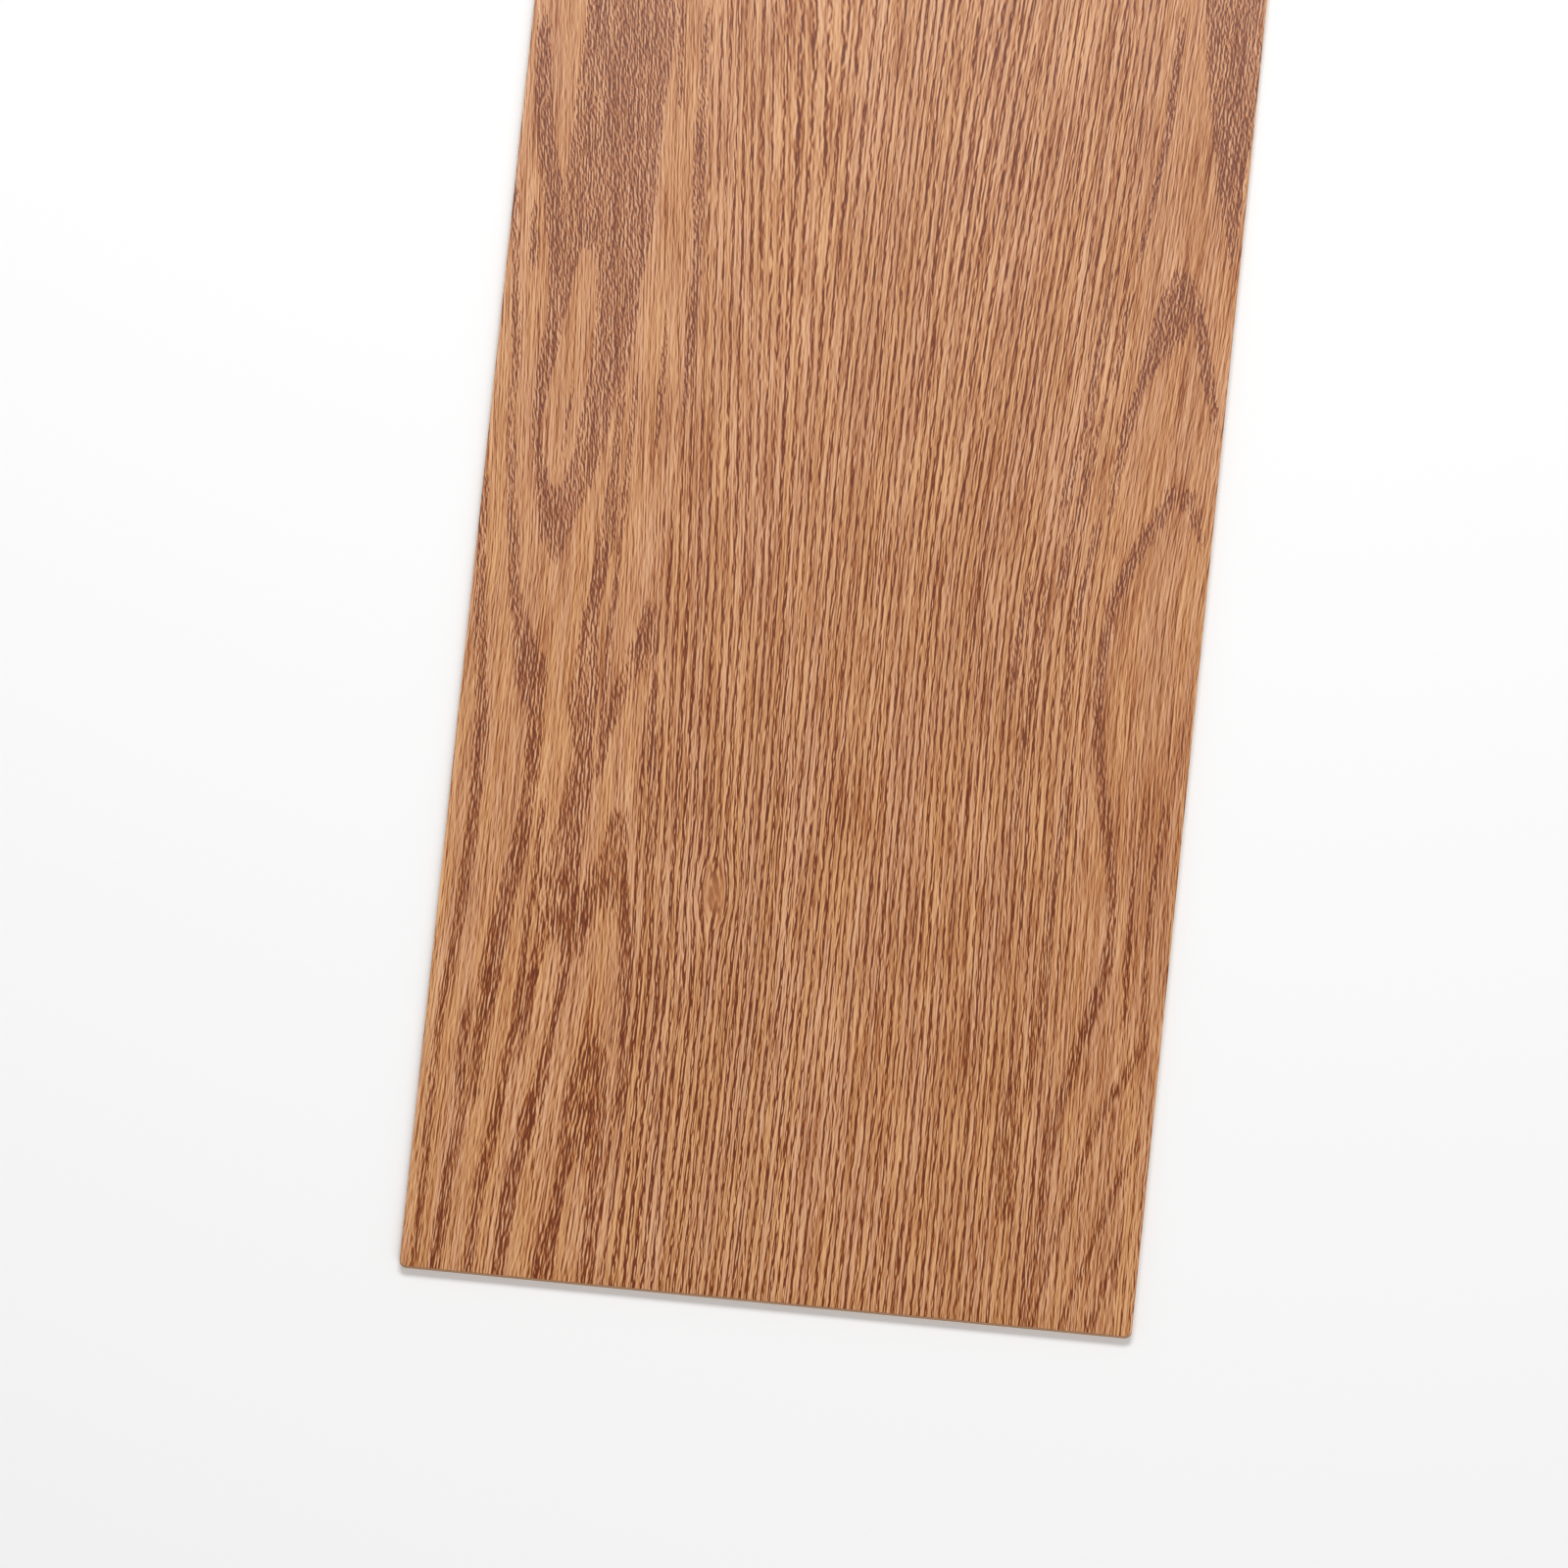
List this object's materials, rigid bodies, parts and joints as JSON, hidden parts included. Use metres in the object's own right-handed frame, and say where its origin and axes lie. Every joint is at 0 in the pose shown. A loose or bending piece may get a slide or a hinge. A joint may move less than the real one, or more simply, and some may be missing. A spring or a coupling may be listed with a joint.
{
  "type": "peel and stick floor plank",
  "caption": "Long flat vinyl floor plank with a red oak print and square die-cut edges, lying face up on the release paper that covers its adhesive back.",
  "frame": {"origin": "middle of the outline, on the underside of the release paper", "axes": "+X across the plank, +Y along it towards the far end, +Z out of the printed face"},
  "size_m": [0.1524, 0.9144, 0.0021],
  "materials": {
    "printed_vinyl": "satin",
    "siliconised_paper": "matte"
  },
  "bodies": {
    "root": {"vinyl_plank": "printed_vinyl", "release_paper": "siliconised_paper"}
  },
  "joints": []
}
